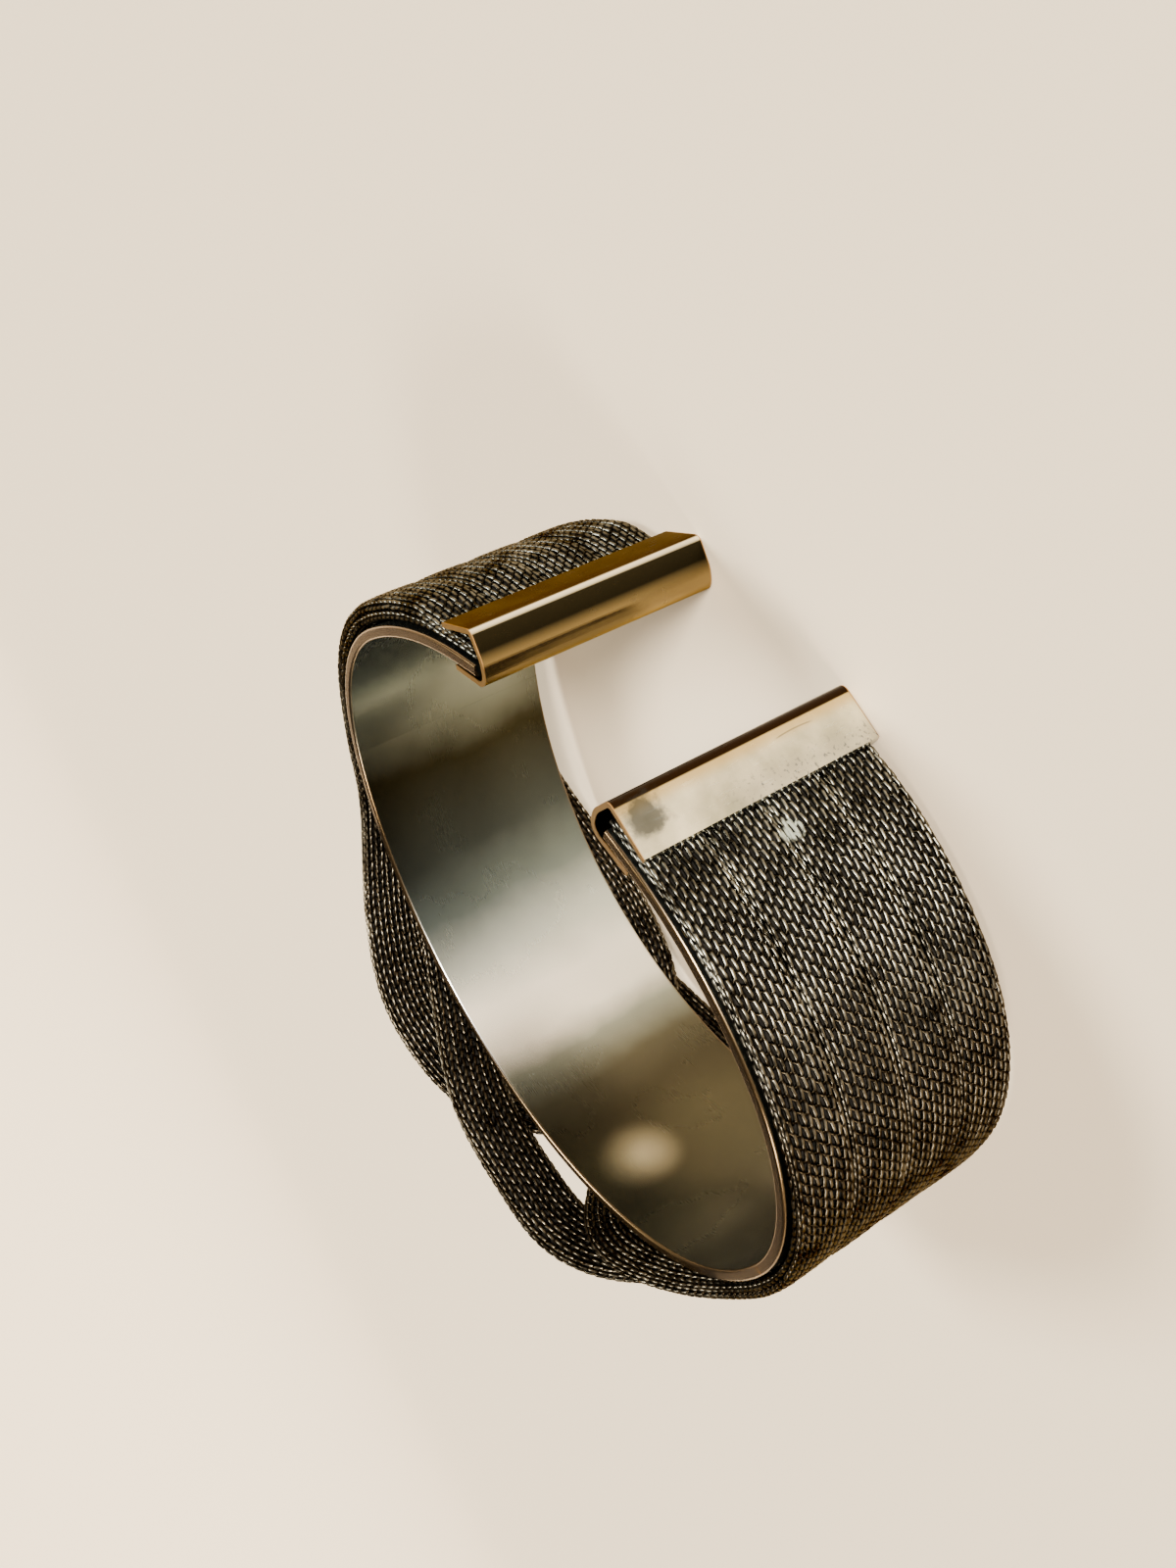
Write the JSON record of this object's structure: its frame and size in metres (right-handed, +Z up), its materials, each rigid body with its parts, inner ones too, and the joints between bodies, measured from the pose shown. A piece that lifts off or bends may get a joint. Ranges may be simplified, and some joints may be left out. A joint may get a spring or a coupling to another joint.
{
  "type": "mesh cuff bracelet",
  "caption": "Open oval cuff bracelet: a plain sprung metal band carries four flattened wire-mesh strands, plaited across the front and held by a folded metal cap at each end.",
  "frame": {"origin": "On the floor that the cuff rests on, under the middle of the wrist hollow", "axes": "+Z up out of the hollow, +Y from the plaited front towards the gap, +X along the wide way of the oval, to the right cap's side. The cuff lies as it rests, its band tilted by about 4.3 degrees, nearly about X, because the plait bows out past the band's lower edge"},
  "size_m": [0.0654, 0.061, 0.03],
  "materials": {
    "band_metal": "polished to a satin, with fine lengthwise lines and faint handling marks",
    "mesh_metal": "knitted wire with an antique dark silver plating, bright on the crowns of the loops",
    "cap_metal": "polished pale gold plating over sheet metal, with fine scratches, speckles and a grey tarnish blot"
  },
  "bodies": {
    "root": {"band": "band_metal", "strand_1": "mesh_metal", "strand_2": "mesh_metal", "strand_3": "mesh_metal", "strand_4": "mesh_metal", "cap_left": "cap_metal", "cap_right": "cap_metal"}
  },
  "joints": []
}
